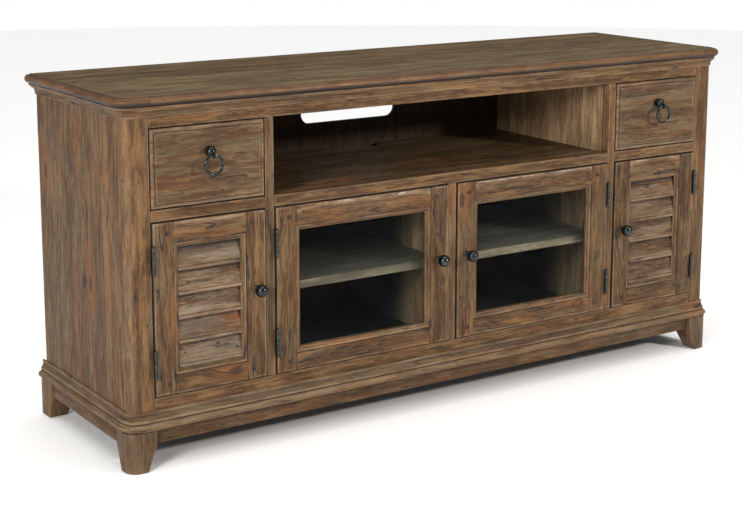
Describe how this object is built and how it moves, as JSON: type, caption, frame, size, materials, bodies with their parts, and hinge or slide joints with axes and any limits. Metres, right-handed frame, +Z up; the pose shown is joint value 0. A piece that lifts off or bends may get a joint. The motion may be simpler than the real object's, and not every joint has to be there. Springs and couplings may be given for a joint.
{
  "type": "tv stand",
  "caption": "Low media console of rustic wood: a drawer each side of an open media bay, louvred doors at the ends and glazed doors between, on tapered bracket feet.",
  "frame": {"origin": "on the floor, under the middle of the object's outline", "axes": "+Z up, +Y towards the back, +X to the right seen from the front"},
  "size_m": [1.676, 0.5002, 0.787],
  "materials": {
    "wood_front": "wire-brushed, distressed brown stain with a grey wash, matt",
    "wood_top": "distressed brown stain with a grey wash, satin",
    "wood_interior": "dark grey-brown stain, matt",
    "wood_drawer": "plain sealed drawer sides, matt",
    "glass": "clear float glass",
    "iron": "antique black-bronze, satin"
  },
  "bodies": {
    "carcass": {"top_board": "wood_top", "bed_moulding": "wood_front", "base_moulding": "wood_front", "top_rail": "wood_front", "bottom_rail": "wood_front", "centre_stile": "wood_front", "media_rail": "wood_front", "media_deck": "wood_interior", "bottom_panel": "wood_interior", "centre_partition": "wood_interior", "back_panel": "wood_interior", "front_apron": "wood_front", "side_panel_left": "wood_front", "side_panel_right": "wood_front", "corner_post_left": "wood_front", "corner_post_right": "wood_front", "inner_stile_left": "wood_front", "inner_stile_right": "wood_front", "drawer_deck_left": "wood_front", "drawer_deck_right": "wood_front", "partition_left": "wood_interior", "partition_right": "wood_interior", "centre_shelf_left": "wood_interior", "centre_shelf_right": "wood_interior", "side_shelf_left": "wood_interior", "side_shelf_right": "wood_interior", "front_foot_left": "wood_front", "front_foot_right": "wood_front", "rear_foot_left": "wood_front", "rear_foot_right": "wood_front", "side_apron_left": "wood_front", "side_apron_right": "wood_front"},
    "drawer_left": {"drawer_front_left": "wood_front", "drawer_box_left": "wood_drawer", "pull_boss_left": "iron"},
    "pull_ring_left": {"pull_ring_left": "iron"},
    "louvre_door_left": {"louvre_door_frame_left": "wood_front", "louvre_panel_left": "wood_front", "louvre_door_knob_left": "iron", "louvre_door_hinge_upper_left": "iron", "louvre_door_hinge_lower_left": "iron"},
    "glass_door_left": {"glass_door_frame_left": "wood_front", "glass_pane_left": "glass", "glass_door_knob_left": "iron", "glass_door_hinge_upper_left": "iron", "glass_door_hinge_lower_left": "iron"},
    "drawer_right": {"drawer_front_right": "wood_front", "drawer_box_right": "wood_drawer", "pull_boss_right": "iron"},
    "pull_ring_right": {"pull_ring_right": "iron"},
    "louvre_door_right": {"louvre_door_frame_right": "wood_front", "louvre_panel_right": "wood_front", "louvre_door_knob_right": "iron", "louvre_door_hinge_upper_right": "iron", "louvre_door_hinge_lower_right": "iron"},
    "glass_door_right": {"glass_door_frame_right": "wood_front", "glass_pane_right": "glass", "glass_door_knob_right": "iron", "glass_door_hinge_upper_right": "iron", "glass_door_hinge_lower_right": "iron"}
  },
  "joints": [
    {"name": "drawer_left_slide", "type": "slide", "parent": "carcass", "child": "drawer_left", "axis": [0, -1, 0], "range_m": [0, 0.3]},
    {"name": "drawer_right_slide", "type": "slide", "parent": "carcass", "child": "drawer_right", "axis": [0, -1, 0], "range_m": [0, 0.3]},
    {"name": "louvre_door_left_hinge", "type": "hinge", "parent": "carcass", "child": "louvre_door_left", "pos_m": [-0.7596, -0.21835, 0.34], "axis": [0, 0, -1], "range_deg": [0, 105]},
    {"name": "glass_door_left_hinge", "type": "hinge", "parent": "carcass", "child": "glass_door_left", "pos_m": [-0.4696, -0.21835, 0.34], "axis": [0, 0, -1], "range_deg": [0, 105]},
    {"name": "louvre_door_right_hinge", "type": "hinge", "parent": "carcass", "child": "louvre_door_right", "pos_m": [0.7596, -0.21835, 0.34], "axis": [0, 0, 1], "range_deg": [0, 105]},
    {"name": "glass_door_right_hinge", "type": "hinge", "parent": "carcass", "child": "glass_door_right", "pos_m": [0.4696, -0.21835, 0.34], "axis": [0, 0, 1], "range_deg": [0, 105]},
    {"name": "pull_ring_left_swing", "type": "hinge", "parent": "drawer_left", "child": "pull_ring_left", "pos_m": [-0.6265, -0.23685, 0.6565], "axis": [-1, 0, 0], "range_deg": [-16, 95]},
    {"name": "pull_ring_right_swing", "type": "hinge", "parent": "drawer_right", "child": "pull_ring_right", "pos_m": [0.6265, -0.23685, 0.6565], "axis": [-1, 0, 0], "range_deg": [-16, 95]}
  ]
}
